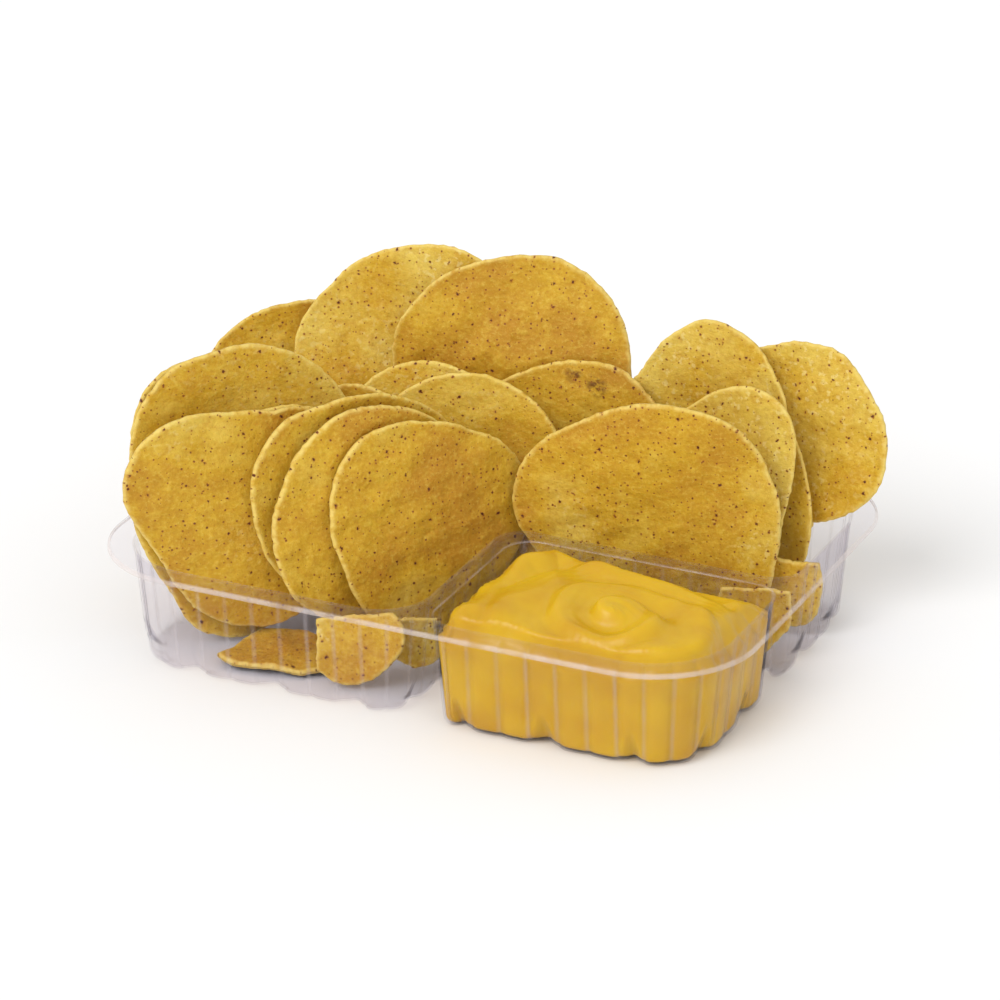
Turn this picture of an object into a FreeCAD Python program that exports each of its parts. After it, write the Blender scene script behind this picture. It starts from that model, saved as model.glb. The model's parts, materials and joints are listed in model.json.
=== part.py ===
"""A two-compartment nacho tray: a clear tray, a heap of round tortilla chips and a cup of cheese sauce.

Frame: the origin is at the middle of the tray, on the underside it rests on. +X runs along the long side
towards the sauce cup, +Y to the back, +Z up. Millimetres.
"""
import FreeCAD
import Part
import math
import os

V = FreeCAD.Vector

# ---- tray ----
LENGTH = 203.2           # over the flange, 8 in
WIDTH = 152.4            # over the flange, 6 in
HEIGHT = 35.0            # underside to top of flange
CORNER = 32.0            # flange corner radius
FLANGE = 7.7             # flange width, outer edge to well
SHEET = 0.5              # thermoformed sheet thickness
LIP = 1.6                # depth of the turned-down edge of the flange
DIVIDER = 5.0            # width of the web between chip well and sauce cup
CUP_LEFT = 9.0           # left side of the sauce cup at the rim
CUP_BACK = -5.0          # back side of the sauce cup at the rim
WELL_CORNER = CORNER - FLANGE
INNER_CORNER = 9.0       # well corners beside the divider
WEB_CORNER = 16.0        # front corner of the chip well beside the cup
DRAFT = 0.09             # inward lean of the walls per mm of depth
TOE = 3.0                # rounding where wall meets floor

# ---- sauce ----
SAUCE_GAP = 0.4          # between sauce and cup wall
SAUCE_RIM_DROP = 1.0     # the sauce meets the wall this far below the flange
# The mound's height, half width and half depth, from the bottom up
SAUCE_MOUND = ((33.0, 38.5, 29.0), (37.0, 37.0, 28.0), (41.0, 33.0, 24.0),
               (44.5, 25.0, 17.0), (46.5, 14.0, 8.0))

# ---- chips ----
CHIP_THICKNESS = 2.0

# Each chip: centre x, y, z; turn of its face from -Y towards +X; lean back; half width, half height;
# roll in its own plane; bend in 1/m and the direction across which it bends; egg shape and its direction.
CHIPS = {
    "chip_front_middle": ((-15, -13, 37), (57, 8), (35, 33), -40, -5, -40, (-0.06, -10)),
    "chip_front_right": ((43.5, 17, 39), (14, 0), (41, 36), -20, -3, 0, (0.06, -40)),
    "chip_front_left": ((-60.5, -37, 44), (45, 5), (39, 34), -15, -8, 45, (0.12, 40)),
    "chip_fan_middle": ((-28, -20, 40), (55, 5), (36, 34), -25, -5, -40, (0.03, 5)),
    "chip_fan_back": ((-35, -18, 43), (53, 5), (37, 34), -38, -5, 0, (0.04, 65)),
    "chip_left_low": ((-66, -32, 40), (45, 5), (37, 33), 46, -3, 0, (-0.12, 40)),
    "chip_left_high": ((-70, -24, 53), (42, 5), (37, 34), -55, -5, 60, (-0.02, 30)),
    "chip_left_edge": ((-74, -19, 50), (40, 8), (35, 33), -40, 6, 0, (-0.08, 0)),
    "chip_top_left": ((-78, 31, 58), (30, 8), (31, 23), 0, 8, 0, (-0.02, 5)),
    "chip_top_back": ((-43, 36.5, 66), (15, 10), (38, 36), 26, 6, 30, (0.02, 40)),
    "chip_top_middle": ((-12, 39, 68), (15, 6), (37, 36), 10, -6, 60, (0.02, 45)),
    "chip_middle_left": ((-30, 16.5, 39), (15, 8), (34, 34), 90, 5, 0, (0.03, 0)),
    "chip_middle": ((-15, 15.5, 38), (15, 8), (32, 36), 20, 5, 0, (0.0, 0)),
    "chip_middle_right": ((9, 33, 41), (15, 8), (34, 35), 40, 5, 0, (0.04, 15)),
    "chip_left_gap": ((-50, 1, 37), (15, 8), (31, 33), -30, 5, 0, (0.0, 0)),
    "chip_right_curled": ((51, 33, 38), (8, 5), (29, 38), -32, 6, 0, (0.12, 90)),
    "chip_right_high": ((49, 45, 46), (3, 6), (40, 34), 104, 10, 0, (0.11, -20)),
    "chip_right_edge": ((70, 53, 55), (2, 8), (34, 28), 20, 8, -35, (-0.06, 8)),
    "chip_back_left": ((-48, 60, 37), (180, 0), (36, 34), 15, 6, 20, (0.03, 10)),
    "chip_back_middle": ((-5, 54, 37), (180, 2), (35, 34), -30, 5, 70, (0.02, 50)),
    "chip_back_right": ((44, 59, 36), (182, 0), (36, 33), 10, 5, 90, (0.03, 30)),
    "broken_chip_floor": ((-47, -44, 2.9), (20, 88), (24, 13.5), 0, 3, 30, (0.05, 20)),
    "broken_chip_front": ((-21.5, -51, 15), (15, 12), (15, 13.5), 0, 12, 0, (0.08, 20)),
    "broken_chip_corner": ((-9, -38, 12), (40, 10), (11, 10), 20, 10, 0, (0.08, 60)),
    "broken_chip_right": ((78.5, 13.5, 17), (12, 8), (11.5, 14.5), 10, 10, 0, (0.08, 40)),
    "broken_chip_deep": ((81.5, 33, 18), (20, -6), (9.5, 15), 0, -8, 0, (0.06, 70)),
}


def rounded_outline(corners, inset, z):
    """A closed wire round a right-angled polygon with rounded corners, moved in by inset, at height z.

    corners: (x, y, radius), anticlockwise; a negative radius marks an inside corner.
    """
    count = len(corners)
    arcs = []
    for i in range(count):
        corner = V(corners[i][0], corners[i][1], z)
        to_before = (V(corners[i - 1][0], corners[i - 1][1], z) - corner).normalize()
        following = corners[(i + 1) % count]
        to_after = (V(following[0], following[1], z) - corner).normalize()
        radius = abs(corners[i][2])
        bow = radius - math.copysign(inset, corners[i][2])
        centre = corner + (to_before + to_after) * radius
        middle = (to_before + to_after).normalize()
        arc = Part.Arc(centre - to_after * bow, centre - middle * bow, centre - to_before * bow)
        arcs.append(arc.toShape())
    edges = []
    for i in range(count):
        edges.append(arcs[i])
        edges.append(Part.makeLine(arcs[i].lastVertex().Point, arcs[(i + 1) % count].firstVertex().Point))
    return Part.Wire(edges)


def well(corners, floor, wall):
    """A solid well from height floor to the rim, with leaning walls and a rounded foot, set in by wall."""
    sections = []
    for rise, toe in ((0.0, TOE), (0.25 * TOE, 0.4 * TOE), (TOE, 0.0)):
        z = floor + rise
        sections.append(rounded_outline(corners, wall + DRAFT * (HEIGHT - z) + toe, z))
    sections.append(rounded_outline(corners, wall, HEIGHT))
    return Part.makeLoft(sections, True, True)


def chip_well_corners():
    x = LENGTH / 2 - FLANGE
    y = WIDTH / 2 - FLANGE
    left = CUP_LEFT - DIVIDER
    back = CUP_BACK + DIVIDER
    return [(-x, -y, WELL_CORNER), (left, -y, WEB_CORNER), (left, back, -INNER_CORNER),
            (x, back, INNER_CORNER), (x, y, WELL_CORNER), (-x, y, WELL_CORNER)]


def cup_corners():
    x = LENGTH / 2 - FLANGE
    y = WIDTH / 2 - FLANGE
    return [(CUP_LEFT, -y, INNER_CORNER), (x, -y, WELL_CORNER), (x, CUP_BACK, INNER_CORNER),
            (CUP_LEFT, CUP_BACK, INNER_CORNER)]


def flange_plate(inset, z, height):
    x = LENGTH / 2 - inset
    y = WIDTH / 2 - inset
    block = Part.makeBox(2 * x, 2 * y, height, V(-x, -y, z))
    upright = [e for e in block.Edges if abs(e.tangentAt(e.FirstParameter).z) > 0.9]
    return block.makeFillet(CORNER - inset, upright)


def make_tray():
    flange = flange_plate(0, HEIGHT - SHEET, SHEET)
    lip = flange_plate(0, HEIGHT - LIP, LIP - SHEET).cut(flange_plate(SHEET, HEIGHT - LIP, LIP - SHEET))
    tray = flange.fuse(lip)
    for corners in (chip_well_corners(), cup_corners()):
        tray = tray.fuse(well(corners, 0.0, 0.0))
    for corners in (chip_well_corners(), cup_corners()):
        tray = tray.cut(well(corners, SHEET, SHEET))
    return tray


def make_sauce():
    """Sauce poured into the cup, a little clear of its wall, and mounded above the rim."""
    floor = SHEET + SAUCE_GAP
    wall = SHEET + SAUCE_GAP
    below_rim = Part.makeBox(LENGTH, WIDTH, HEIGHT - SAUCE_RIM_DROP, V(0, -WIDTH / 2, 0))
    x = (CUP_LEFT + LENGTH / 2 - FLANGE) / 2
    y = (CUP_BACK - WIDTH / 2 + FLANGE) / 2
    mound = Part.makeLoft([oval(x, y, z, a, b) for z, a, b in SAUCE_MOUND], True, False)
    return well(cup_corners(), floor, wall).common(below_rim).fuse(mound)


def oval(x, y, z, half_width, half_depth):
    """A closed curve between an ellipse and a rectangle."""
    points = []
    for j in range(24):
        angle = 2 * math.pi * j / 24
        spread = (abs(math.cos(angle)) ** 3.2 + abs(math.sin(angle)) ** 3.2) ** (-1 / 3.2)
        across = half_width * spread * math.cos(angle)
        along = half_depth * spread * math.sin(angle)
        points.append(V(x + across, y + along, z))
    return closed_curve(points)


def closed_curve(points):
    curve = Part.BSplineCurve()
    curve.interpolate(points, PeriodicFlag=True)
    return Part.Wire([curve.toShape()])


def chip_outline(half_width, half_height, roll, egg):
    """The chip's outline in its own plane, an oval with a slight egg shape, as a closed curve."""
    amount, direction = egg
    points = []
    for j in range(24):
        angle = 2 * math.pi * j / 24
        reach = 1 + amount * math.cos(3 * (angle - math.radians(direction)))
        points.append(V(half_width * reach * math.cos(angle), half_height * reach * math.sin(angle), 0))
    wire = closed_curve(points)
    wire.rotate(V(0, 0, 0), V(0, 0, 1), roll)
    return wire


def bent_sheet(bend, across):
    """A wide sheet of chip thickness, bent to an arc across the given direction, edges up if bend > 0."""
    reach = 60.0
    radius = 1000.0 / abs(bend)
    middle = 0.5 * CHIP_THICKNESS
    arcs = []
    for r in (radius - middle, radius + middle):
        half = math.asin(reach / radius)
        ends = [V(r * math.sin(a), 0, radius - r * math.cos(a)) for a in (-half, 0, half)]
        arcs.append(Part.Arc(*ends).toShape())
    sides = [Part.makeLine(arcs[0].Vertexes[i].Point, arcs[1].Vertexes[i].Point) for i in (0, 1)]
    profile = Part.Face(Part.Wire(Part.sortEdges([arcs[0], sides[0], arcs[1], sides[1]])[0]))
    sheet = profile.extrude(V(0, 2 * reach, 0))
    sheet.translate(V(0, -reach, 0))
    if bend < 0:
        sheet.rotate(V(0, 0, 0), V(0, 1, 0), 180)
    sheet.rotate(V(0, 0, 0), V(0, 0, 1), across)
    return sheet


def make_chip(centre, attitude, size, roll, bend, across, egg):
    """A bent chip; its face looks along -Y at turn 0, and tips up with lean."""
    turn, lean = attitude
    outline = chip_outline(size[0], size[1], roll, egg)
    prism = Part.Face(outline).extrude(V(0, 0, 60))
    prism.translate(V(0, 0, -30))
    chip = prism.common(bent_sheet(bend, across))
    sink = size[0] * size[1] * bend / 6000.0
    chip.translate(V(0, 0, -sink))
    chip.rotate(V(0, 0, 0), V(1, 0, 0), 90 - lean)
    chip.rotate(V(0, 0, 0), V(0, 0, 1), turn)
    chip.translate(V(*centre))
    return chip


def main():
    os.makedirs("parts", exist_ok=True)
    make_tray().exportStep("parts/tray.step")
    make_sauce().exportStep("parts/cheese_sauce.step")
    for name, placing in CHIPS.items():
        make_chip(*placing).exportStep("parts/" + name + ".step")


main()
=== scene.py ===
"""Looks of the nacho tray: fluted clear tray, fried round corn chips and swirled cheese sauce.

Lengths are worked out in millimetres in the row frame and turned to metres when a mesh is made.
"""
import json
import math

import bmesh
import bpy
import numpy as np
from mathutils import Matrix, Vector
from mathutils.geometry import delaunay_2d_cdt

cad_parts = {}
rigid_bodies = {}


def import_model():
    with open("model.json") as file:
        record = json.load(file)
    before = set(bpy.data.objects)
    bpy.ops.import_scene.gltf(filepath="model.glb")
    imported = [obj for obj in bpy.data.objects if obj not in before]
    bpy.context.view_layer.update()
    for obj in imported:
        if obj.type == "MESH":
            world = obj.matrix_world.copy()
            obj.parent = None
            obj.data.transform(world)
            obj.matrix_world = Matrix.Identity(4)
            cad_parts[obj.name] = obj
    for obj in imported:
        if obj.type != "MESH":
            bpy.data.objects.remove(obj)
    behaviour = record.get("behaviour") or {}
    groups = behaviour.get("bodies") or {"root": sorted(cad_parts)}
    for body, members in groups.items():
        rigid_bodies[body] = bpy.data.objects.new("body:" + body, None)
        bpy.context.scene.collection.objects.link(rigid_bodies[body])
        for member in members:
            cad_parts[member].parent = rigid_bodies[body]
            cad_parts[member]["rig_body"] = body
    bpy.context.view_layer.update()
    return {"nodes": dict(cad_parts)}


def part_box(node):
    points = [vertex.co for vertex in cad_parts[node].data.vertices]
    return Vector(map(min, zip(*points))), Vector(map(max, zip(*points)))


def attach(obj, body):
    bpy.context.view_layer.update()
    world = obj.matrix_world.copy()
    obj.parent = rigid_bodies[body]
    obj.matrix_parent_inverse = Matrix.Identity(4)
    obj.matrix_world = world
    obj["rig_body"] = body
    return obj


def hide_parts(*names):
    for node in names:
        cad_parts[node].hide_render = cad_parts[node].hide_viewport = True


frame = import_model()
scene = bpy.context.scene

MM = 0.001
TRAY_LOW, TRAY_HIGH = (np.array(corner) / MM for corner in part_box("tray"))
LENGTH, WIDTH, HEIGHT = TRAY_HIGH - TRAY_LOW

# The tray's form, as the CAD has it
CORNER = 32.0            # radius of the flange's corners
FLANGE = 7.7             # its width
SHEET = 0.5              # thickness of the plastic
LIP = 1.6                # drop of the turned-down edge
DIVIDER = 5.0            # web between the two wells
CUP_LEFT = 9.0
CUP_BACK = -5.0
WELL_CORNER = CORNER - FLANGE
INNER_CORNER = 9.0
WEB_CORNER = 16.0        # the chip well's front corner beside the cup
DRAFT = 0.09             # slope of the walls
TOE = 3.0                # rounding from wall to floor

# Fluting of the walls
FLUTE_PITCH = 8.8
FLUTE_DEPTH = 0.9
FLUTE_FADE = (5.0, 1.0)  # flutes fade out between these depths under the rim
FOOT_EVERY = 3           # flutes per foot lobe
FOOT_HEIGHT = 11.0
FOOT_DEPTH = 4.2         # how far in the notches between the lobes reach
NOTCH_HALF = 1.0         # half width of a notch at its top
NOTCH_FLARE = 5.5        # how much more it is at the floor
BRIM_RADIUS = 1.1        # rounding from wall to flange
FLUTE_HIGHLIGHT = 0.65      # painted highlight: whiteness of the plastic in the grooves between flutes, from 0 to 1
BRIM_HIGHLIGHT = 0.75       # and the painted highlight line along the rim of a well
BRIM_HIGHLIGHT_LINE = (0.4, 0.3)   # how far under the rim that painted highlight line is, and its width

OUTLINE_STEP = 0.8       # spacing of points along a well's outline
FLANGE_STEP = 1.6        # and along the flange's edge


def srgb(red, green, blue):
    """A colour given as 0-255 display values, as the linear colour with alpha that nodes take."""
    linear = []
    for value in (red, green, blue):
        share = value / 255
        linear.append(share / 12.92 if share <= 0.04045 else ((share + 0.055) / 1.055) ** 2.4)
    return (*linear, 1.0)


# ---------------------------------------------------------------- meshes

def new_piece(name, vertices, faces, body, material, replaced):
    """A mesh object from vertices in millimetres, riding on a body in place of a CAD node."""
    mesh = bpy.data.meshes.new(name)
    mesh.from_pydata((np.asarray(vertices) * MM).tolist(), [], faces)
    mesh.update()
    piece = bpy.data.objects.new(name, mesh)
    scene.collection.objects.link(piece)
    mesh.materials.append(material)
    mesh.polygons.foreach_set("use_smooth", [True] * len(mesh.polygons))
    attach(piece, body)
    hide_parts(replaced)
    return piece


def add_floats(piece, name, values):
    attribute = piece.data.attributes.new(name, "FLOAT", "POINT")
    attribute.data.foreach_set("value", np.asarray(values, np.float32))


def add_vectors(piece, name, values):
    attribute = piece.data.attributes.new(name, "FLOAT_VECTOR", "POINT")
    attribute.data.foreach_set("vector", np.asarray(values, np.float32).ravel())


def waves(points, seed, length, count=24):
    """A smooth random field over 2-D points, about -1 to 1, whose features are about length wide."""
    rng = np.random.default_rng(seed)
    total = np.zeros(len(points))
    for _ in range(count):
        angle = rng.uniform(0, 2 * math.pi)
        number = 2 * math.pi / (length * rng.uniform(0.7, 1.8))
        along = points[:, 0] * math.cos(angle) + points[:, 1] * math.sin(angle)
        total += np.cos(along * number + rng.uniform(0, 2 * math.pi))
    return total / math.sqrt(count)


def smoothstep(low, high, values):
    share = np.clip((values - low) / (high - low), 0, 1)
    return share * share * (3 - 2 * share)


def near(points, place, radius):
    """A round bump over 2-D points: 1 at a place, and about a third of that a radius away."""
    return np.exp(-((points - np.array(place)) ** 2).sum(1) / radius ** 2)


def at_height(points, z):
    return np.column_stack((points, np.full(len(points), z)))


def band(rings):
    """Vertices, and quads between successive closed rings of equal length."""
    number = len(rings[0])
    quads = []
    for level in range(len(rings) - 1):
        base = level * number
        for i in range(number):
            j = (i + 1) % number
            quads.append((base + i, base + j, base + number + j, base + number + i))
    return np.vstack(rings), quads


def weld(piece, distance):
    """Joins points that lie within distance millimetres, and turns all faces the same way."""
    mesh = bmesh.new()
    mesh.from_mesh(piece.data)
    bmesh.ops.remove_doubles(mesh, verts=mesh.verts, dist=distance * MM)
    bmesh.ops.recalc_face_normals(mesh, faces=mesh.faces)
    mesh.to_mesh(piece.data)
    mesh.free()


def settle(piece):
    """Turns the piece's modifiers into its mesh."""
    graph = bpy.context.evaluated_depsgraph_get()
    old = piece.data
    piece.data = bpy.data.meshes.new_from_object(piece.evaluated_get(graph))
    piece.modifiers.clear()
    piece.data.name = piece.name
    bpy.data.meshes.remove(old)


# ---------------------------------------------------------------- tray outlines

def rounded_corner(before, corner, after, step):
    """Points and outward normals round one corner, and where its arc starts and ends."""
    radius = corner[2]
    size = abs(radius)
    corner = np.array(corner[:2], float)
    back = np.array(before[:2]) - corner
    ahead = np.array(after[:2]) - corner
    back /= np.linalg.norm(back)
    ahead /= np.linalg.norm(ahead)
    centre = corner + (back + ahead) * size
    number = max(3, int(size * math.pi / 2 / step))
    turn = np.linspace(0, math.pi / 2, number, endpoint=False)
    spoke = -ahead[None] * np.cos(turn)[:, None] - back[None] * np.sin(turn)[:, None]
    outward = spoke if radius > 0 else -spoke
    return centre + spoke * size, outward, corner + back * size, corner + ahead * size


def rounded_path(corners, step):
    """Points, outward normals, distances and length of a right-angled outline with rounded corners.

    corners: (x, y, radius), anticlockwise; a negative radius marks an inside corner.
    """
    count = len(corners)
    following = corners[1:] + corners[:1]
    arcs = [rounded_corner(corners[i - 1], corners[i], following[i], step) for i in range(count)]
    points = []
    normals = []
    for i, (arc, outward, _, start) in enumerate(arcs):
        stop = arcs[(i + 1) % count][2]
        run = stop - start
        span = np.linalg.norm(run)
        number = max(1, int(span / step))
        share = np.linspace(0, 1, number, endpoint=False)[:, None]
        points += [arc, start + run * share]
        normals += [outward, np.repeat(np.array([[run[1], -run[0]]]) / span, number, 0)]
    points = np.vstack(points)
    normals = np.vstack(normals)
    gaps = np.linalg.norm(np.roll(points, -1, 0) - points, axis=1)
    distances = np.concatenate(([0], np.cumsum(gaps)[:-1]))
    return points, normals, distances, gaps.sum()


def chip_well_corners():
    x = LENGTH / 2 - FLANGE
    y = WIDTH / 2 - FLANGE
    left = CUP_LEFT - DIVIDER
    back = CUP_BACK + DIVIDER
    return [(-x, -y, WELL_CORNER), (left, -y, WEB_CORNER), (left, back, -INNER_CORNER),
            (x, back, INNER_CORNER), (x, y, WELL_CORNER), (-x, y, WELL_CORNER)]


def cup_corners():
    x = LENGTH / 2 - FLANGE
    y = WIDTH / 2 - FLANGE
    return [(CUP_LEFT, -y, INNER_CORNER), (x, -y, WELL_CORNER), (x, CUP_BACK, INNER_CORNER),
            (CUP_LEFT, CUP_BACK, INNER_CORNER)]


def wall_inset(distances, length, z):
    """How far a well wall's outside stands in from the rim outline at height z, and the strength of the
    highlight painted on its creases.
    """
    flutes = round(length / FLUTE_PITCH / FOOT_EVERY) * FOOT_EVERY
    pitch = length / flutes
    groove = (1 - np.abs(np.sin(math.pi * distances / pitch))) ** 2
    fade_start, fade_end = (HEIGHT - depth for depth in FLUTE_FADE)
    upper = 1 - smoothstep(fade_start, fade_end, np.full(len(distances), z))
    inset = DRAFT * (HEIGHT - z) + FLUTE_DEPTH * groove * upper
    low = max(0.0, 1 - z / FOOT_HEIGHT)
    foot = FOOT_EVERY * pitch
    away = np.abs((distances / foot) % 1 - 0.5) * foot
    notch = np.clip(1 - away / (NOTCH_HALF + NOTCH_FLARE * low), 0, 1)
    inset += FOOT_DEPTH * low * notch * notch * (3 - 2 * notch)
    if z < TOE:
        inset += TOE * (1 - math.sqrt(1 - (1 - z / TOE) ** 2))
    if z > HEIGHT - BRIM_RADIUS:
        share = (z - HEIGHT + BRIM_RADIUS) / BRIM_RADIUS
        inset -= BRIM_RADIUS * (1 - math.sqrt(max(0.0, 1 - share * share)))
    # painted highlight: a white line just under the rim, and white lines in the flute grooves
    brim = BRIM_HIGHLIGHT * math.exp(-((z - HEIGHT + BRIM_HIGHLIGHT_LINE[0]) / BRIM_HIGHLIGHT_LINE[1]) ** 2)
    return inset, np.maximum(FLUTE_HIGHLIGHT * groove * upper, brim)


def inside(points, outline):
    """Which 2-D points lie in a closed outline."""
    hit = np.zeros(len(points), bool)
    following = np.roll(outline, -1, 0)
    for (x0, y0), (x1, y1) in zip(outline, following):
        if y0 == y1:
            continue
        crosses = (points[:, 1] < y0) != (points[:, 1] < y1)
        at = x0 + (points[:, 1] - y0) / (y1 - y0) * (x1 - x0)
        hit ^= crosses & (points[:, 0] < at)
    return hit


def filled(outline, holes, z):
    """Triangles over an outline less its holes, at height z."""
    points = []
    edges = []
    for loop in [outline] + holes:
        first = len(points)
        points.extend(Vector(p) for p in loop)
        edges.extend((first + i, first + (i + 1) % len(loop)) for i in range(len(loop)))
    found, _, faces, _, _, _ = delaunay_2d_cdt(points, edges, [], 0, 1e-6)
    flat = np.array([tuple(p) for p in found])
    middles = np.array([flat[list(face)].mean(0) for face in faces])
    keep = inside(middles, outline)
    for hole in holes:
        keep &= ~inside(middles, hole)
    return at_height(flat, z), [tuple(face) for face, kept in zip(faces, keep) if kept]


# ---------------------------------------------------------------- tray

# The flange's edge, going outwards: inset from the tray's outline, drop below the flange, and strength of
# the highlight painted on it
LIP_PROFILE = ((2.2, 0.0, 0.0), (1.3, 0.0, 0.0), (1.0, 0.0, 0.4), (0.62, 0.06, 0.9),
               (0.4, 0.3, 1.0), (0.3, 0.7, 1.0), (0.27, LIP - SHEET / 2 - 0.1, 0.9))
WALL_RINGS = 22          # from the toe to the brim, both ends counted
ARC_RINGS = 6            # in the toe, and in the brim
MIDDLE = SHEET / 2       # depth of the sheet's middle surface, which is modelled and then thickened


def toe_levels():
    return [TOE * (1 - math.cos(a)) for a in np.linspace(0, math.pi / 2, ARC_RINGS)]


def wall_levels():
    brim = [HEIGHT - BRIM_RADIUS * (1 - math.sin(a)) for a in np.linspace(0, math.pi / 2, ARC_RINGS)]
    return toe_levels() + list(np.linspace(TOE, HEIGHT - BRIM_RADIUS, WALL_RINGS)[1:-1]) + brim


def well_shells(corners):
    """The fluted wall and the floor of one well, and the outline of its mouth."""
    points, normals, distances, length = rounded_path(corners, OUTLINE_STEP)
    rings = []
    crease_highlights = []
    for z in wall_levels():
        # the second value is the strength of the painted highlight lines on the wall
        inset, crease_highlight = wall_inset(distances, length, z)
        ring = points - normals * (inset + MIDDLE)[:, None]
        rings.append(at_height(ring, MIDDLE + z * (HEIGHT - SHEET) / HEIGHT))
        crease_highlights.append(crease_highlight)
    floor, triangles = filled(rings[0][:, :2], [], MIDDLE)
    shells = [(*band(rings), np.concatenate(crease_highlights)), (floor, triangles, np.zeros(len(floor)))]
    return shells, rings[-1][:, :2]


def flange_shells(mouths):
    """The turned-down edge, and the flange with the mouths of the wells cut out."""
    x = LENGTH / 2
    y = WIDTH / 2
    outer = [(-x, -y, CORNER), (x, -y, CORNER), (x, y, CORNER), (-x, y, CORNER)]
    points, normals, _, _ = rounded_path(outer, FLANGE_STEP)
    rings = []
    crease_highlights = []
    for inset, drop, crease_highlight in LIP_PROFILE:
        rings.append(at_height(points - normals * inset, HEIGHT - MIDDLE - drop))
        # painted highlight strength along the turned-down lip
        crease_highlights.append(np.full(len(points), crease_highlight))
    flange, triangles = filled(rings[0][:, :2], mouths, HEIGHT - MIDDLE)
    return [(*band(rings), np.concatenate(crease_highlights)), (flange, triangles, np.zeros(len(flange)))]


def make_tray(material):
    """The tray as one thin sheet: two wells, flange and turned-down lip."""
    chip_well, chip_mouth = well_shells(chip_well_corners())
    cup, cup_mouth = well_shells(cup_corners())
    vertices = []
    faces = []
    crease_highlights = []
    for points, polygons, crease_highlight in chip_well + cup + flange_shells([chip_mouth, cup_mouth]):
        first = len(vertices)
        vertices.extend(points.tolist())
        faces.extend(tuple(first + i for i in polygon) for polygon in polygons)
        crease_highlights.extend(crease_highlight)
    tray = new_piece("clear_tray", vertices, faces, "root", material, "tray")
    # these values paint whiter highlight lines onto the plastic's flute grooves, well rims and lip
    add_floats(tray, "crease_highlight", crease_highlights)
    weld(tray, distance=0.02)
    solidify = tray.modifiers.new("sheet", "SOLIDIFY")
    solidify.thickness = SHEET * MM
    solidify.offset = 0.0
    settle(tray)
    tray.data.set_sharp_from_angle(angle=math.radians(50))


# ---------------------------------------------------------------- cheese sauce

SAUCE_SKIN = SHEET + 0.35             # from the outside of the cup wall to the sauce
SAUCE_LINE = 27.5                     # the sauce leaves the wall at about this height
SAUCE_BORDER = 34.6                   # height of its top's border
SAUCE_CROWN = 36.4                    # height of its top, before folds and lumps
SIDE_RINGS = 18
TOP_RINGS = 64
SWIRL = np.array((60.0, -50.0))       # middle of the swirl
SWIRL_SHAPE = np.array((0.86, 1.14))  # the swirl is wider than it is deep
SWIRL_STEP = 13.0                     # distance between folds
FOLD_RISE = 0.7                       # share of a fold that rises; the rest falls
SHOULDER = 3.2                        # how far the rounding of the border draws it in
CUP_MIDDLE = np.array((54, -37))
BACK_LEFT = (CUP_LEFT, CUP_BACK)      # the cup's corner that the sauce fills least
MIDDLE_EDGE = np.array([25.0])        # how far the middle of the top is from its border, at least

# Where the border is drawn in towards the cup's middle: place, radius, and share of the way
BORDER_PULLS = ((BACK_LEFT, 24, 0.24), ((CUP_LEFT, -45), 16, 0.04))
# Lumps and hollows of the top: place, radius, height
LUMPS = (((84, -36), 7, 1.8), ((70, -43), 5, -1.8))


def slumped(ring, share):
    """The sauce's border, drawn in from the cup's back wall and corners where it doesn't fill them."""
    pull = sum(size * near(ring, place, radius) for place, radius, size in BORDER_PULLS)
    pull += 0.02 * waves(ring, seed=21, length=18)
    moved = (CUP_MIDDLE - ring) * np.clip(pull, 0, 1)[:, None]
    back = smoothstep(-30, -6, ring[:, 1])
    moved[:, 1] -= 9.0 * back * smoothstep(22, 50, ring[:, 0])
    moved[:, 0] -= 3.5 * smoothstep(80, 94, ring[:, 0]) * smoothstep(-52, -24, ring[:, 1])
    return ring + moved * share ** 2


def border_height(points):
    """Height of the top's border, which sags in the cup's back left corner."""
    return SAUCE_BORDER - 5.0 * near(points, BACK_LEFT, 22)


def swirl_height(points, radius, angle):
    """Heights of the swirl's folds and of the fine ripples on them, over the sauce's crown."""
    wobble = waves(points, seed=3, length=34) * 0.12
    turns = radius / SWIRL_STEP + (angle - 0.6) / (2 * math.pi) + wobble
    share = turns % 1
    rise = smoothstep(0, FOLD_RISE, share)
    fold = np.where(share < FOLD_RISE, rise, 1 - smoothstep(FOLD_RISE, 1.0, share))
    strength = 3.2 * np.exp(-radius / 30) * smoothstep(0.5, 6, radius) + 0.5
    ripple = 0.05 * np.sin(turns * 2 * math.pi * 4 + 2 * waves(points, seed=12, length=20))
    return strength * (fold - 0.4), ripple


def sauce_height(points, edge):
    """Height of the sauce's top at 2-D points that lie edge millimetres in from its border."""
    offset = (points - SWIRL) * SWIRL_SHAPE
    radius = np.linalg.norm(offset, axis=1)
    folds, ripple = swirl_height(points, radius, np.arctan2(offset[:, 1], offset[:, 0]))
    crown = SAUCE_CROWN + 3.4 * smoothstep(0, 22, edge) + 2.6 * np.exp(-(radius / 4.5) ** 2)
    back = smoothstep(-46, -24, points[:, 1])
    right = smoothstep(40, 80, points[:, 0])
    back_ridge = (3.4 - 2.0 * right) * np.exp(-((edge - 5) / 4.5) ** 2) * back - 2.2 * right * back
    left_ridge = 1.6 * np.exp(-((edge - 6) / 4.0) ** 2) * smoothstep(40, 18, points[:, 0])
    lumps = sum(size * near(points, place, reach) for place, reach, size in LUMPS)
    uneven = 0.5 * waves(points, seed=8, length=20)
    height = crown + back_ridge + left_ridge + lumps + folds + ripple + uneven
    bulge = np.sqrt(np.clip(1 - (1 - np.clip(edge, 0, 5) / 5) ** 2, 0, 1))
    return border_height(points) + (height - SAUCE_BORDER) * bulge


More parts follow.
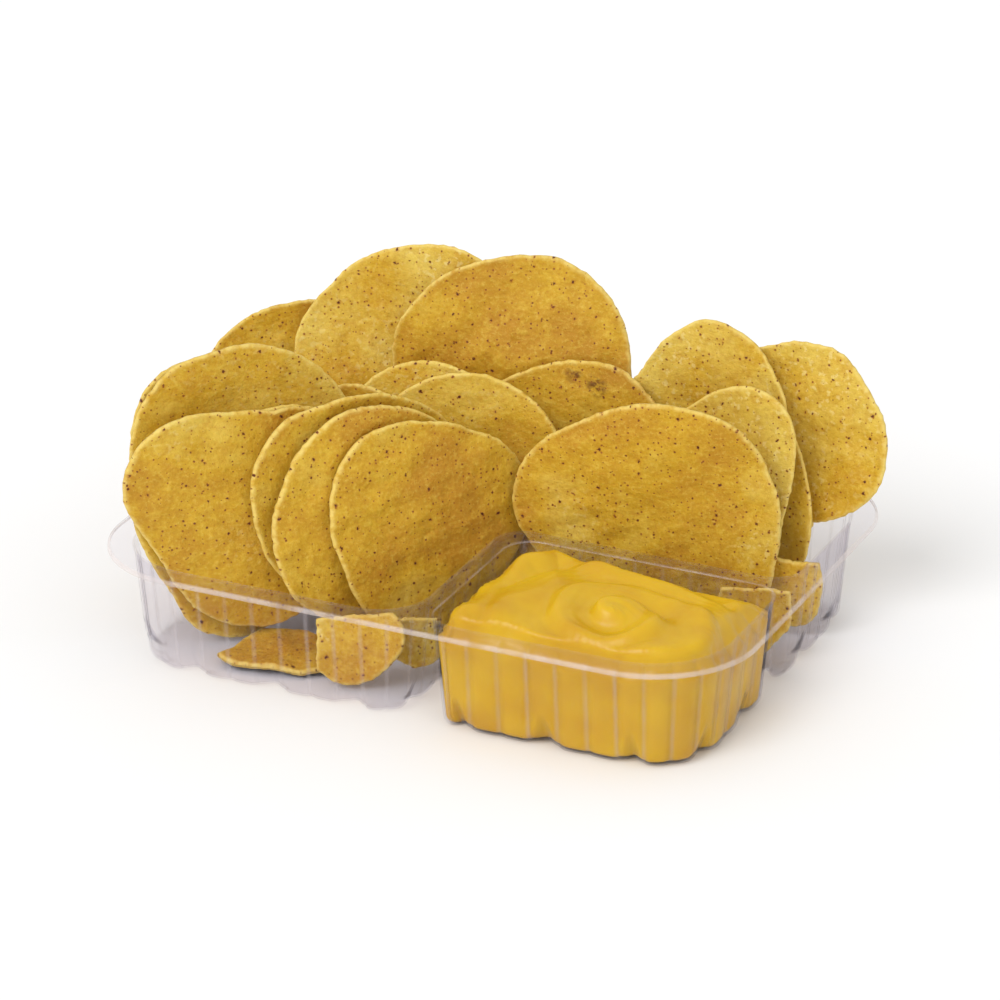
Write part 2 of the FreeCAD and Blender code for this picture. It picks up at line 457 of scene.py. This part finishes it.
def sauce_sides(points, normals, distances, length, line):
    """Rings up the cup's wall, from the floor to the line where the sauce leaves the wall."""
    rings = []
    for z in toe_levels():
        inset, _ = wall_inset(distances, length, z)
        ring = points - normals * (inset + SAUCE_SKIN)[:, None]
        rings.append(at_height(ring, z + SAUCE_SKIN * (1 - z / TOE)))
    for k in range(1, SIDE_RINGS + 1):
        z = TOE + (line - TOE) * k / SIDE_RINGS
        inset = np.array([wall_inset(distances[i:i + 1], length, z[i])[0][0] for i in range(len(z))])
        ring = points - normals * (inset + SAUCE_SKIN)[:, None]
        rings.append(np.column_stack((ring, z)))
    return rings


def sauce_shoulder(points, normals, distances, length, line):
    """Rings from the wall in to the border of the sauce's top, on which the flutes fade out."""
    depth = 6            # under the rim, where the wall's form is taken
    fluted, _ = wall_inset(distances, length, HEIGHT - depth)
    smooth = DRAFT * depth
    rings = []
    for share in (0.2, 0.4, 0.6, 0.8, 1.0):
        rounding = SHOULDER * math.sqrt(math.sin(share * math.pi / 2))
        inset = fluted * (1 - share) + smooth * share + rounding
        ring = slumped(points - normals * (inset + SAUCE_SKIN)[:, None], share)
        rings.append(np.column_stack((ring, line + (border_height(ring) - line) * share)))
    return rings


def sauce_top(border):
    """Rings from the top's border in to its middle, and the middle point."""
    centre = border.mean(0)
    rings = []
    for k in range(1, TOP_RINGS):
        share = (k / TOP_RINGS) ** 0.9
        ring = border + (centre - border) * share
        edge = np.linalg.norm(ring[:, None, :] - border[None, ::3, :], axis=2).min(1)
        rings.append(np.column_stack((ring, sauce_height(ring, edge))))
    return rings, np.array([[*centre, sauce_height(centre[None], MIDDLE_EDGE)[0]]])


def make_sauce(material):
    path = rounded_path(cup_corners(), OUTLINE_STEP)
    distances = path[2]
    number = len(distances)
    line = SAUCE_LINE + 1.4 * waves(np.column_stack((distances, distances * 0)), seed=5, length=22)
    rings = sauce_sides(*path, line) + sauce_shoulder(*path, line)
    top, tip = sauce_top(rings[-1][:, :2])
    sides, faces = band(rings + top)
    vertices = np.vstack((sides, tip))
    last = len(sides) - number
    faces.extend((last + i, last + (i + 1) % number, len(sides)) for i in range(number))
    floor, triangles = filled(rings[0][:, :2], [], rings[0][0, 2])
    first = len(vertices)
    vertices = np.vstack((vertices, floor))
    faces.extend(tuple(first + i for i in reversed(triangle)) for triangle in triangles)
    sauce = new_piece("swirled_sauce", vertices, faces, "root", material, "cheese_sauce")
    weld(sauce, distance=0.01)


# ---------------------------------------------------------------- chips

CHIP_THICKNESS = 1.8
RIM_WIDTH = 0.9          # the rounded edge
RIM_RINGS = 4
SPOKES = 144
FACE_RINGS = 30
PIECE_RINGS = 14         # for broken pieces
PIECE_SIZE = 20          # whole chips reach further than this from their middle
OUTLINE_SLOTS = 72       # parts of a turn in which a chip's outline is read from its CAD mesh
CLEARANCE = 0.5          # the ragged outline is this far inside the CAD's on average, and never past it
BLISTERS = 40            # on a chip that reaches BLISTERED_REACH from its middle
BLISTERED_REACH = 37
CHIP_APART = 131.0       # shifts the speckles from one chip to the next
BACK_APART = 170.0       # and from a chip's front to its back
OUT_OF_HEAP = np.array((0.4, -1.0, 0.3))    # the way that the fronts of the chips face

# Painted light: lighter areas of a chip's face where it catches the light, such as a curled flap or a
# highlight, as across, up and radius in mm from its middle
LIT_PATCHES = {
    "chip_right_high": ((-24, 30, 12), (20, 22, 10)),
    "chip_right_curled": ((20, 18, 14), (24, 0, 9)),
    "chip_front_right": ((32, -6, 8), (30, 12, 6)),
    "chip_front_left": ((-30, -26, 7),),
    "broken_chip_front": ((-12, 2, 5),),
    "chip_top_back": ((10, -20, 16),),
}
# Each chip's tone: lighter above 0 and browner below, then toasted spots as across, up and radius in mm
LOOKS = {
    "chip_top_middle": (-0.35, ()),
    "chip_top_back": (0.35, ()),
    "chip_left_high": (0.25, ()),
    "chip_right_high": (0.35, ((-18, -4, 12),)),
    "chip_right_edge": (0.3, ()),
    "chip_right_curled": (0.35, ()),
    "chip_middle_right": (-0.1, ((2, 30, 2.4), (9, 27, 3), (-22, 24, 3), (-17, 22, 2.6), (-12, 19, 2.2))),
    "chip_middle_left": (0.55, ()),
    "chip_fan_middle": (-0.3, ()),
    "broken_chip_front": (-0.15, ()),
    "broken_chip_corner": (0.2, ()),
    # this piece's browner tone is partly painted shade: the shade under the heap of chips
    "broken_chip_floor": (-0.5, ()),
    "chip_front_middle": (-0.25, ()),
    "chip_front_right": (-0.15, ()),
    "chip_left_low": (-0.05, ()),
    "chip_front_left": (-0.15, ()),
}

# Straight edges of broken pieces: the way each faces in degrees, and its distance as a share of the reach
BROKEN_EDGES = {
    "broken_chip_front": ((98, 0.60), (186, 0.84), (318, 0.90)),
    "broken_chip_corner": ((84, 0.62), (236, 0.80)),
    "broken_chip_right": ((92, 0.58), (200, 0.80), (322, 0.88)),
    "broken_chip_deep": ((80, 0.66), (215, 0.84)),
    "broken_chip_floor": ((52, 0.74), (148, 0.90), (262, 0.66)),
}


def surface_terms(u, v):
    """The terms of a gently curved surface over 2-D points."""
    return np.column_stack((np.ones_like(u), u, v, u * u, u * v, v * v))


def harmonics(angles):
    """The terms of a rounded outline's radius at given angles."""
    columns = [np.ones_like(angles)]
    for order in range(1, 6):
        columns.extend((np.cos(order * angles), np.sin(order * angles)))
    return np.column_stack(columns)


def chip_axes(middles, areas):
    """A flat chip's own directions: level across its face, up its face, and out of it."""
    _, _, found = np.linalg.svd(middles * np.sqrt(areas)[:, None], full_matrices=False)
    normal = found[2]
    if normal @ OUT_OF_HEAP < 0:
        normal = -normal
    across = np.cross((0, 0, 1), normal)
    across /= np.linalg.norm(across)
    return across, np.cross(normal, across), normal


def chip_outline(flat):
    """Harmonics of a chip's outline, from the outermost of its 2-D points in each part of a turn."""
    angles = np.arctan2(flat[:, 1], flat[:, 0])
    radii = np.hypot(flat[:, 0], flat[:, 1])
    slots = ((angles + math.pi) / (2 * math.pi) * OUTLINE_SLOTS).astype(int) % OUTLINE_SLOTS
    outermost = []
    for slot in range(OUTLINE_SLOTS):
        found = np.flatnonzero(slots == slot)
        if len(found):
            outermost.append(found[np.argmax(radii[found])])
    return np.linalg.lstsq(harmonics(angles[outermost]), radii[outermost], rcond=None)[0]


def chip_form(node):
    """A chip's middle, axes, outline harmonics and mid-surface, read from its CAD mesh."""
    points = np.array([v.co for v in node.data.vertices], float) / MM
    node.data.calc_loop_triangles()
    corners = points[np.array([t.vertices for t in node.data.loop_triangles])]
    sides = corners[:, 1] - corners[:, 0], corners[:, 2] - corners[:, 0]
    areas = np.linalg.norm(np.cross(*sides), axis=1)
    middles = corners.mean(1)
    middle = np.average(middles, axis=0, weights=areas)
    axes = chip_axes(middles - middle, areas)
    local = (points - middle) @ np.column_stack(axes)
    shift = (local[:, :2].min(0) + local[:, :2].max(0)) / 2
    middle = middle + axes[0] * shift[0] + axes[1] * shift[1]
    spread = (middles - middle) @ np.column_stack(axes)
    weight = np.sqrt(areas)
    terms = surface_terms(spread[:, 0], spread[:, 1]) * weight[:, None]
    surface = np.linalg.lstsq(terms, spread[:, 2] * weight, rcond=None)[0]
    return middle, axes, chip_outline(local[:, :2] - shift), surface


def chip_reach(name, seed, outline):
    """Directions round a chip, and how far its ragged or broken outline is from its middle in each."""
    spokes = np.linspace(0, 2 * math.pi, SPOKES, endpoint=False)
    circle = np.column_stack((np.cos(spokes), np.sin(spokes)))
    reach = harmonics(spokes) @ outline
    whole = reach.mean()
    ragged = 0.36 * waves(circle * whole, seed + 1, 18) + 0.16 * waves(circle * whole, seed + 2, 2.6)
    for direction, share in BROKEN_EDGES.get(name, ()):
        facing = np.cos(spokes - math.radians(direction))
        reach = np.minimum(reach, share * whole / np.maximum(facing, 0.05))
    return circle, reach - CLEARANCE + np.clip(ragged, -1.6, CLEARANCE)


def frying_blisters(plane, seed, extent):
    """Blisters that rise from a chip's face and dimples that sink into it."""
    rng = np.random.default_rng(seed)
    blisters = np.zeros(len(plane))
    for _ in range(int(BLISTERS * (extent / BLISTERED_REACH) ** 2)):
        spot = rng.uniform(-extent, extent, 2)
        width = rng.uniform(1.2, 4.2)
        lift = rng.uniform(0.15, 0.5) * rng.choice((-0.6, 1.0))
        blisters += lift * near(plane, spot, width)
    return blisters


def chip_sides(plane, share, sizes, surface, seed, extent):
    """Heights of a chip's front and back over its plane; share is how far out each point is."""
    mid = surface_terms(plane[:, 0], plane[:, 1]) @ surface
    mid += 0.55 * waves(plane, seed + 3, 36) + 0.24 * waves(plane, seed + 4, 12)
    blisters = frying_blisters(plane, seed, extent)
    grit = 0.08 * waves(plane, seed + 5, 3.2, 40)
    ease = smoothstep(0.0, 0.06, 1 - share)
    bead = 0.10 * np.exp(-((1 - share) * extent / 1.6) ** 2)
    half = CHIP_THICKNESS / 2
    top = mid + (half + bead) * sizes + (blisters + grit) * ease
    bottom = mid - (half + bead) * sizes + (blisters * 0.5 - grit) * ease
    return top, bottom


def chip_faces(levels, number):
    """Faces of a chip's front and back, number points each, which share the outermost ring."""
    last = number - SPOKES
    faces = []
    for base, way in ((0, 1), (number, -1)):
        starts = [base + 1 + level * SPOKES for level in range(levels - 1)] + [last]
        for i in range(SPOKES):
            j = (i + 1) % SPOKES
            faces.append((base, starts[0] + i, starts[0] + j)[::way])
            for inner, outer in zip(starts, starts[1:]):
                faces.append((inner + i, outer + i, outer + j, inner + j)[::way])
    return faces


def paint_chip(chip, name, seed, plane, back, rim_distance):
    """The values that the chip's material reads: place, rim (where an edge highlight is painted), tone
    with painted lit patches, and toasted spots.
    """
    tone, spots = LOOKS.get(name, (0.0, ()))
    place = np.column_stack((plane[:, 0] + seed * CHIP_APART, plane[:, 1] + back * BACK_APART, back))
    add_vectors(chip, "chip_place", place)
    # rim: 1 at the chip's edge, where a pale painted highlight goes
    add_floats(chip, "rim_highlight", np.exp(-(rim_distance / 1.1) ** 2))
    tones_and_lit_patches = np.full(len(plane), tone) + 0.25 * waves(plane, seed + 6, 40)
    # painted light: lighter patches where a chip catches the light
    for x, y, radius in LIT_PATCHES.get(name, ()):
        tones_and_lit_patches += 0.7 * near(plane, (x, y), radius)
    add_floats(chip, "tone", tones_and_lit_patches)
    toast = np.zeros(len(plane))
    for x, y, radius in spots:
        toast = np.maximum(toast, near(plane, (x, y), radius))
    add_floats(chip, "toast", toast)


def make_chip(name, body, seed, material):
    middle, axes, outline, surface = chip_form(frame["nodes"][name])
    circle, reach = chip_reach(name, seed, outline)
    extent = reach.mean()
    rings = FACE_RINGS if extent > PIECE_SIZE else PIECE_RINGS
    turns = np.linspace(0, math.pi / 2, RIM_RINGS + 1)[1:]
    inner = 1 - RIM_WIDTH / reach
    radii = [inner * k / rings for k in range(1, rings + 1)]
    radii += [inner + (1 - inner) * math.sin(a) for a in turns]
    sizes = np.repeat([1.0] * rings + [math.cos(a) for a in turns], SPOKES)
    plane = np.vstack([np.zeros((1, 2))] + [circle * (reach * r)[:, None] for r in radii])
    share = np.concatenate(([0.0], *radii))
    top, bottom = chip_sides(plane, share, np.concatenate(([1.0], sizes)), surface, seed, extent)
    last = len(plane) - SPOKES
    top[last:] = (top[last:] + bottom[last:]) / 2
    both = np.vstack((plane, plane[:last]))
    places = np.column_stack((both, np.concatenate((top, bottom[:last]))))
    vertices = middle + places @ np.array(axes)
    faces = chip_faces(len(radii), len(plane))
    chip = new_piece(name + "_fried", vertices, faces, body, material, name)
    back = np.concatenate((np.zeros(len(plane)), np.ones(last)))
    rim_distance = (1 - np.concatenate((share, share[:last]))) * extent
    paint_chip(chip, name, seed, both, back, rim_distance)


# ---------------------------------------------------------------- materials

# A Mix node's colour sockets by number, because its other types have sockets of the same names
MIX_SHARE = 0
MIX_FIRST = 6
MIX_SECOND = 7
MIX_COLOUR = 2

# Bran specks: cells per mm, largest radius in cells, share of the cells that stay empty, and colour
SPECKS = (
    (0.17, 0.085, 0.35, srgb(92, 40, 14)),
    (0.31, 0.105, 0.45, srgb(112, 60, 20)),
    (0.50, 0.140, 0.58, srgb(136, 80, 26)),
)
HALO = 1.9               # a speck's brown halo is this much wider than the speck


class Nodes:
    """A small helper that builds one material's node tree."""

    def __init__(self, name):
        self.material = bpy.data.materials.new(name)
        self.material.use_nodes = True
        self.tree = self.material.node_tree
        self.shader = self.tree.nodes["Principled BSDF"]
        self.output = self.tree.nodes["Material Output"]

    def add(self, kind, **settings):
        node = self.tree.nodes.new(kind)
        for key, value in settings.items():
            setattr(node, key, value)
        return node

    def link(self, source, target):
        self.tree.links.new(source, target)

    def attribute(self, name):
        return self.add("ShaderNodeAttribute", attribute_name=name)

    def noise(self, place, scale, detail=2.0, rough=0.5):
        node = self.add("ShaderNodeTexNoise")
        node.inputs["Scale"].default_value = scale
        node.inputs["Detail"].default_value = detail
        node.inputs["Roughness"].default_value = rough
        self.link(place, node.inputs["Vector"])
        return node.outputs["Fac"]

    def ramp(self, value, low, high, start=0.0, stop=1.0):
        node = self.add("ShaderNodeMapRange", clamp=True)
        node.inputs["From Min"].default_value = low
        node.inputs["From Max"].default_value = high
        node.inputs["To Min"].default_value = start
        node.inputs["To Max"].default_value = stop
        self.link(value, node.inputs["Value"])
        return node.outputs["Result"]

    def maths(self, operation, first, second):
        node = self.add("ShaderNodeMath", operation=operation)
        for socket, value in zip(node.inputs, (first, second)):
            if isinstance(value, (int, float)):
                socket.default_value = value
            else:
                self.link(value, socket)
        return node.outputs["Value"]

    def mix(self, share, first, second):
        """Colour first where share is 0 and second where it is 1."""
        node = self.add("ShaderNodeMix", data_type="RGBA")
        for socket, value in ((MIX_SHARE, share), (MIX_FIRST, first), (MIX_SECOND, second)):
            if isinstance(value, (int, float, tuple)):
                node.inputs[socket].default_value = value
            else:
                self.link(value, node.inputs[socket])
        return node.outputs[MIX_COLOUR]

    def bump(self, height, strength, distance):
        node = self.add("ShaderNodeBump")
        node.inputs["Strength"].default_value = strength
        node.inputs["Distance"].default_value = distance * MM
        self.link(height, node.inputs["Height"])
        self.link(node.outputs["Normal"], self.shader.inputs["Normal"])


def corn_colour(n, place, tone, grain):
    """Mottled yellow of fried corn, from browner to paler with the tone and the painted lit patches in
    it, gritty close to.
    """
    level = n.maths("ADD", n.noise(place, 0.045, 3, 0.55), n.maths("MULTIPLY", tone, 0.30))
    colour = n.mix(n.ramp(level, 0.26, 0.50), srgb(190, 138, 32), srgb(206, 162, 36))
    colour = n.mix(n.ramp(level, 0.50, 0.80), colour, srgb(222, 192, 84))
    orange = n.ramp(n.noise(place, 0.16, 4, 0.65), 0.55, 0.75, 0.0, 0.15)
    colour = n.mix(orange, colour, srgb(200, 128, 32))
    mottle = n.noise(place, 0.28, 4, 0.65)
    colour = n.mix(n.ramp(mottle, 0.5, 0.68, 0.0, 0.40), colour, srgb(186, 134, 36))
    colour = n.mix(n.ramp(mottle, 0.34, 0.48, 0.35, 0.0), colour, srgb(226, 192, 70))
    colour = n.mix(n.ramp(grain, 0.52, 0.70, 0.0, 0.45), colour, srgb(232, 204, 92))
    colour = n.mix(n.ramp(grain, 0.32, 0.47, 0.42, 0.0), colour, srgb(172, 112, 26))
    flecks = n.ramp(n.noise(place, 0.5, 2), 0.55, 0.66, 0.0, 0.55)
    flecks = n.maths("MULTIPLY", flecks, n.ramp(tone, 0.0, 0.6))
    return n.mix(flecks, colour, srgb(238, 218, 140))


def add_toast_and_rim_highlight(n, place, colour):
    """Dark toasted spots, and the pale gritty edge of a chip, painted partly as the highlight along its
    rounded rim.
    """
    toast = n.attribute("toast").outputs["Fac"]
    burnt = n.maths("MULTIPLY", toast, n.ramp(n.noise(place, 0.45, 3, 0.6), 0.38, 0.62))
    colour = n.mix(n.ramp(burnt, 0.1, 0.7, 0.0, 0.85), colour, srgb(100, 52, 20))
    # pale gritty edge, partly a painted highlight along the chip's rim
    rim_highlight = n.attribute("rim_highlight").outputs["Fac"]
    pale = n.maths("MULTIPLY", rim_highlight, n.ramp(n.noise(place, 0.4, 3), 0.3, 0.6, 0.3, 1.0))
    return n.mix(n.ramp(pale, 0.2, 0.9, 0.0, 0.8), colour, srgb(230, 204, 112))


def add_specks(n, place, colour):
    """Ragged dark bran specks of three sizes, each in a faint brown halo."""
    wobble = n.ramp(n.noise(place, 1.3, 3, 0.6), 0.3, 0.7, -0.06, 0.06)
    for scale, size, empty, dark in SPECKS:
        cells = n.add("ShaderNodeTexVoronoi", voronoi_dimensions="2D")
        cells.inputs["Scale"].default_value = scale
        n.link(place, cells.inputs["Vector"])
        split = n.add("ShaderNodeSeparateColor")
        n.link(cells.outputs["Color"], split.inputs["Color"])
        chance = split.outputs["Red"]
        radius = n.ramp(chance, empty, 1.0, 0.0, size)
        there = n.ramp(chance, empty, empty + 0.05)
        distance = n.maths("ADD", cells.outputs["Distance"], wobble)
        speck = n.ramp(n.maths("SUBTRACT", radius, distance), -0.01, 0.03)
        around = n.maths("SUBTRACT", n.maths("MULTIPLY", radius, HALO), distance)
        halo = n.ramp(around, -0.02, 0.06, 0.0, 0.34)
        colour = n.mix(n.maths("MULTIPLY", halo, there), colour, srgb(176, 100, 34))
        colour = n.mix(n.maths("MULTIPLY", speck, there), colour, dark)
    return colour


def chip_material():
    """Fried corn chip: mottled yellow with painted lighter patches where it catches the light, dark bran
    specks, orange blotches, and a pale gritty rim that is partly a painted edge highlight.
    """
    n = Nodes("fried corn")
    place = n.attribute("chip_place").outputs["Vector"]
    # tone carries each chip's own tone and the painted lit patches
    tone = n.attribute("tone").outputs["Fac"]
    grain = n.noise(place, 0.75, 5, 0.7)
    colour = corn_colour(n, place, tone, grain)
    colour = add_toast_and_rim_highlight(n, place, colour)
    colour = add_specks(n, place, colour)
    n.link(colour, n.shader.inputs["Base Color"])
    n.link(n.ramp(grain, 0.3, 0.7, 0.62, 0.44), n.shader.inputs["Roughness"])
    n.shader.inputs["Specular IOR Level"].default_value = 0.3
    n.shader.inputs["Subsurface Weight"].default_value = 0.08
    n.shader.inputs["Subsurface Radius"].default_value = (1.0, 0.5, 0.15)
    n.shader.inputs["Subsurface Scale"].default_value = 1.2 * MM
    rough = n.maths("ADD", n.maths("MULTIPLY", grain, 0.6), n.noise(place, 0.3, 3, 0.6))
    n.bump(rough, 0.75, 0.7)
    return n.material


def sauce_material():
    """Cheese sauce: smooth saturated yellow with faint broad streaks."""
    n = Nodes("cheese sauce")
    place = n.add("ShaderNodeNewGeometry").outputs["Position"]
    streak = n.noise(place, 55, 3, 0.5)
    colour = n.mix(n.ramp(streak, 0.35, 0.65), srgb(198, 151, 12), srgb(212, 171, 18))
    n.link(colour, n.shader.inputs["Base Color"])
    n.link(n.ramp(n.noise(place, 400, 2), 0.3, 0.7, 0.30, 0.42), n.shader.inputs["Roughness"])
    n.shader.inputs["Specular IOR Level"].default_value = 0.4
    n.shader.inputs["Subsurface Weight"].default_value = 0.25
    n.shader.inputs["Subsurface Radius"].default_value = (1.0, 0.6, 0.1)
    n.shader.inputs["Subsurface Scale"].default_value = 3.0 * MM
    n.bump(n.noise(place, 160, 3, 0.5), 0.25, 0.6)
    return n.material


def plastic_material():
    """Thin clear plastic: nearly all see-through, whiter at glancing angles, with painted highlight lines
    along creases and rims.
    """
    n = Nodes("clear plastic")
    facing = n.add("ShaderNodeLayerWeight")
    facing.inputs["Blend"].default_value = 0.45
    # crease: where highlight lines are painted on the plastic
    crease_highlight = n.attribute("crease_highlight").outputs["Fac"]
    place = n.add("ShaderNodeNewGeometry").outputs["Position"]
    haze = n.ramp(n.noise(place, 90, 3), 0.3, 0.7, 0.0, 0.01)
    glancing = n.maths("MULTIPLY", n.maths("POWER", facing.outputs["Facing"], 8.0), 0.9)
    share = n.maths("ADD", n.maths("ADD", glancing, 0.008), haze)
    uneven = n.ramp(n.noise(place, 130, 2), 0.3, 0.6, 0.4, 1.0)
    # painted highlight lines along the flute grooves, well rims and lip, broken up a little
    line = n.maths("MULTIPLY", n.ramp(crease_highlight, 0.3, 1.0, 0.0, 0.27), uneven)
    share = n.maths("MINIMUM", n.maths("ADD", share, line), 0.95)
    clear = n.add("ShaderNodeBsdfTransparent")
    clear.inputs["Color"].default_value = (0.980, 0.972, 0.980, 1)
    # the plastic's own lavender grey, painted whiter where the highlight lines go
    tint_and_highlight = n.mix(n.ramp(crease_highlight, 0.2, 0.9), srgb(180, 176, 190), srgb(232, 220, 214))
    n.link(tint_and_highlight, n.shader.inputs["Base Color"])
    n.link(n.ramp(n.noise(place, 300, 2), 0.3, 0.7, 0.08, 0.2), n.shader.inputs["Roughness"])
    n.shader.inputs["Specular IOR Level"].default_value = 0.6
    mixed = n.add("ShaderNodeMixShader")
    n.link(share, mixed.inputs[0])
    n.link(clear.outputs[0], mixed.inputs[1])
    n.link(n.shader.outputs[0], mixed.inputs[2])
    n.link(mixed.outputs[0], n.output.inputs["Surface"])
    return n.material


def floor_material():
    n = Nodes("pale floor")
    place = n.add("ShaderNodeNewGeometry").outputs["Position"]
    pale = n.mix(n.noise(place, 3, 2), (0.90, 0.90, 0.90, 1), (0.92, 0.92, 0.92, 1))
    n.link(pale, n.shader.inputs["Base Color"])
    n.shader.inputs["Roughness"].default_value = 0.9
    n.shader.inputs["Specular IOR Level"].default_value = 0.1
    return n.material


# ---------------------------------------------------------------- stage

FLOOR_EDGE = 6.0         # metres from the middle
FLOOR_GAP = 0.0001       # metres under the tray, so that the two faces don't meet
CAMERA_AZIMUTH = 25.0    # degrees round from the front, towards the cup's end
CAMERA_ELEVATION = 24.3  # degrees above the floor
CAMERA_DISTANCE = 1.476  # metres
CAMERA_TARGET = Vector((0, 0, 0.035))


def make_floor():
    mesh = bpy.data.meshes.new("floor")
    edge = FLOOR_EDGE
    corners = [(-edge, -edge, 0), (edge, -edge, 0), (edge, edge, 0), (-edge, edge, 0)]
    mesh.from_pydata(corners, [], [(0, 1, 2, 3)])
    floor = bpy.data.objects.new("floor", mesh)
    scene.collection.objects.link(floor)
    mesh.materials.append(floor_material())
    floor.location.z = -FLOOR_GAP


def add_sun(name, direction, spread, power):
    data = bpy.data.lights.new(name, "SUN")
    data.angle = math.radians(spread)
    data.energy = power
    sun = bpy.data.objects.new(name, data)
    scene.collection.objects.link(sun)
    sun.rotation_euler = Vector(direction).to_track_quat("-Z", "Y").to_euler()


def make_lights():
    world = bpy.data.worlds.new("studio")
    world.use_nodes = True
    background = world.node_tree.nodes["Background"]
    background.inputs["Color"].default_value = (1.0, 1.0, 1.0, 1)
    background.inputs["Strength"].default_value = 0.80
    scene.world = world
    add_sun("key", direction=(0.25, 0.85, -0.85), spread=35, power=1.4)
    add_sun("fill", direction=(-0.6, 0.7, -0.5), spread=60, power=0.25)


def make_camera():
    """A long lens that looks down on the tray from its front right."""
    azimuth = math.radians(CAMERA_AZIMUTH)
    elevation = math.radians(CAMERA_ELEVATION)
    level = math.cos(elevation)
    back = Vector((math.sin(azimuth) * level, -math.cos(azimuth) * level, math.sin(elevation)))
    data = bpy.data.cameras.new("camera")
    data.lens = 180.0
    data.sensor_width = 36.0
    data.shift_x = 0.0047
    data.shift_y = 0.024
    camera = bpy.data.objects.new("camera", data)
    scene.collection.objects.link(camera)
    camera.location = CAMERA_TARGET + back * CAMERA_DISTANCE
    camera.rotation_euler = (-back).to_track_quat("-Z", "Y").to_euler()
    scene.camera = camera


# ---------------------------------------------------------------- build

FIRST_SEED = 10
SEED_STEP = 7            # a chip draws on its own seed and the six after it

fried = chip_material()
for number, (node_name, node) in enumerate(sorted(frame["nodes"].items())):
    if "chip" in node_name:
        make_chip(node_name, node["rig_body"], FIRST_SEED + SEED_STEP * number, fried)
make_sauce(sauce_material())
make_tray(plastic_material())
make_floor()
make_lights()
make_camera()
scene.view_settings.view_transform = "Standard"
